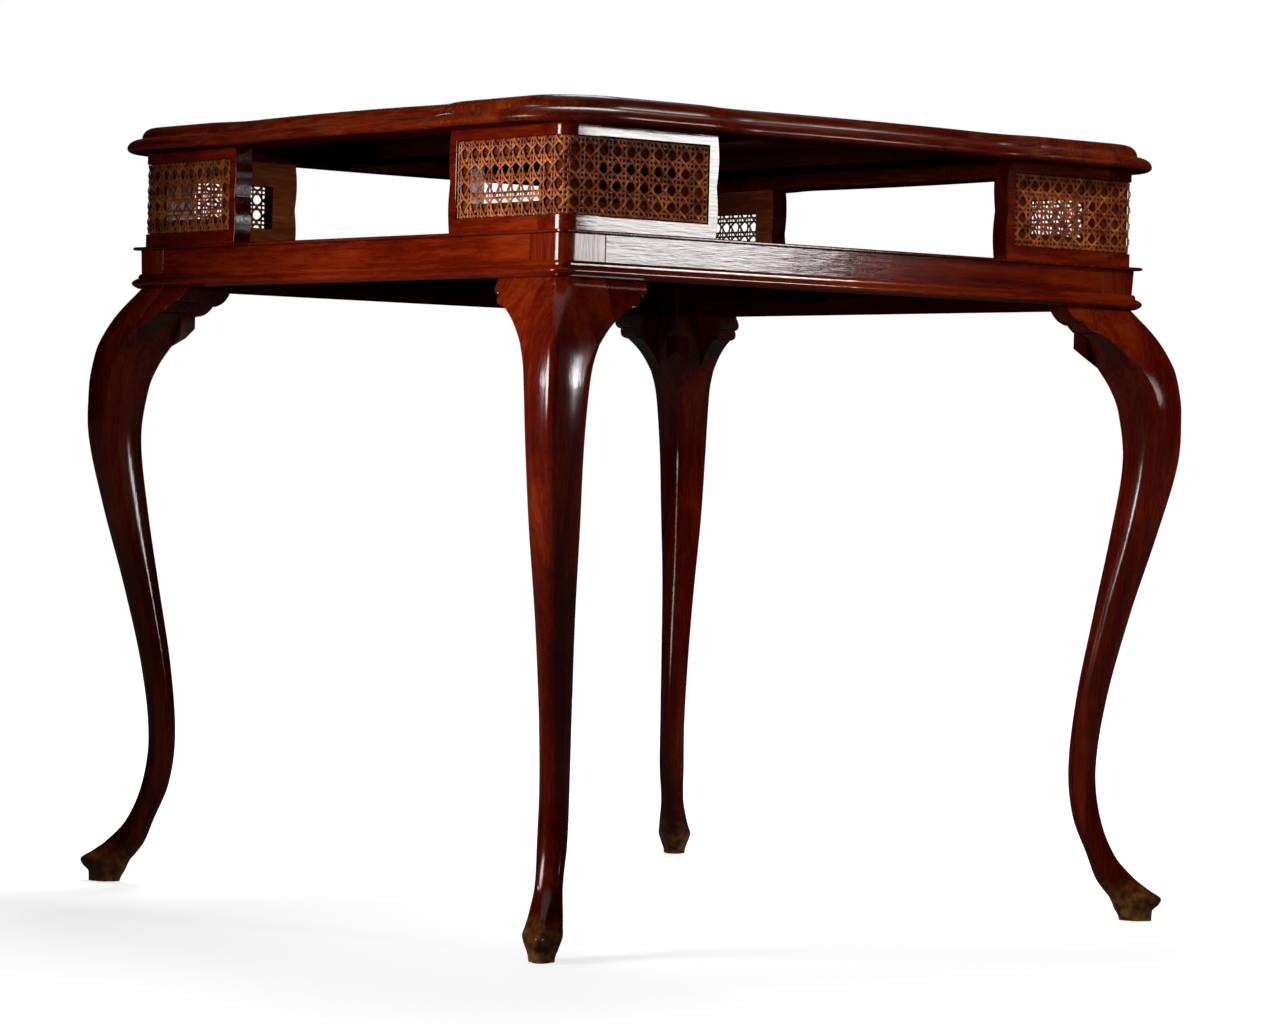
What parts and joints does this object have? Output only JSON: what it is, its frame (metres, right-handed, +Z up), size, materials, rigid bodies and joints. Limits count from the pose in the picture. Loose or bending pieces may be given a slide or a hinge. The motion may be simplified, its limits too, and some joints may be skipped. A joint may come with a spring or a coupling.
{
  "type": "games table",
  "caption": "Square games table on cabriole legs, with an open card tray under a shaped, moulded top that stands on caned corner screens and holds a lift-out baize panel.",
  "frame": {"origin": "on the floor, under the middle of the table", "axes": "+Z up, -Y to the front, X along the front"},
  "size_m": [0.7814, 0.7814, 0.757],
  "materials": {
    "polished_wood": "French-polished red-brown mahogany, glossy",
    "secondary_wood": "plain unpolished wood",
    "cane": "stained and varnished woven cane",
    "baize": "short-napped green wool baize"
  },
  "bodies": {
    "table": {"cane_back_left": "cane", "cane_back_right": "cane", "cane_front_left": "cane", "cane_front_right": "cane", "frame_tongues": "secondary_wood", "frieze_bead_back": "polished_wood", "frieze_bead_front": "polished_wood", "frieze_bead_left": "polished_wood", "frieze_bead_right": "polished_wood", "frieze_rail_back": "polished_wood", "frieze_rail_front": "polished_wood", "frieze_rail_left": "polished_wood", "frieze_rail_right": "polished_wood", "glue_blocks": "secondary_wood", "knee_bracket_back_rail_left": "polished_wood", "knee_bracket_back_rail_right": "polished_wood", "knee_bracket_front_rail_left": "polished_wood", "knee_bracket_front_rail_right": "polished_wood", "knee_bracket_left_rail_back": "polished_wood", "knee_bracket_left_rail_front": "polished_wood", "knee_bracket_right_rail_back": "polished_wood", "knee_bracket_right_rail_front": "polished_wood", "leg_back_left": "polished_wood", "leg_back_right": "polished_wood", "leg_front_left": "polished_wood", "leg_front_right": "polished_wood", "screen_plank_back_left": "polished_wood", "screen_plank_back_right": "polished_wood", "screen_plank_front_left": "polished_wood", "screen_plank_front_right": "polished_wood", "screen_plank_left_back": "polished_wood", "screen_plank_left_front": "polished_wood", "screen_plank_right_back": "polished_wood", "screen_plank_right_front": "polished_wood", "screen_post_back_left": "polished_wood", "screen_post_back_right": "polished_wood", "screen_post_front_left": "polished_wood", "screen_post_front_right": "polished_wood", "top_bearer_back": "secondary_wood", "top_bearer_front": "secondary_wood", "top_corner_back_left": "polished_wood", "top_corner_back_right": "polished_wood", "top_corner_front_left": "polished_wood", "top_corner_front_right": "polished_wood", "top_side_back": "polished_wood", "top_side_front": "polished_wood", "top_side_left": "polished_wood", "top_side_right": "polished_wood", "tray_board": "polished_wood"},
    "panel": {"playing_panel": "polished_wood", "baize": "baize"}
  },
  "joints": [
    {"name": "panel_lift", "type": "slide", "parent": "table", "child": "panel", "axis": [0, 0, 1], "range_m": [0, 0.25]}
  ]
}
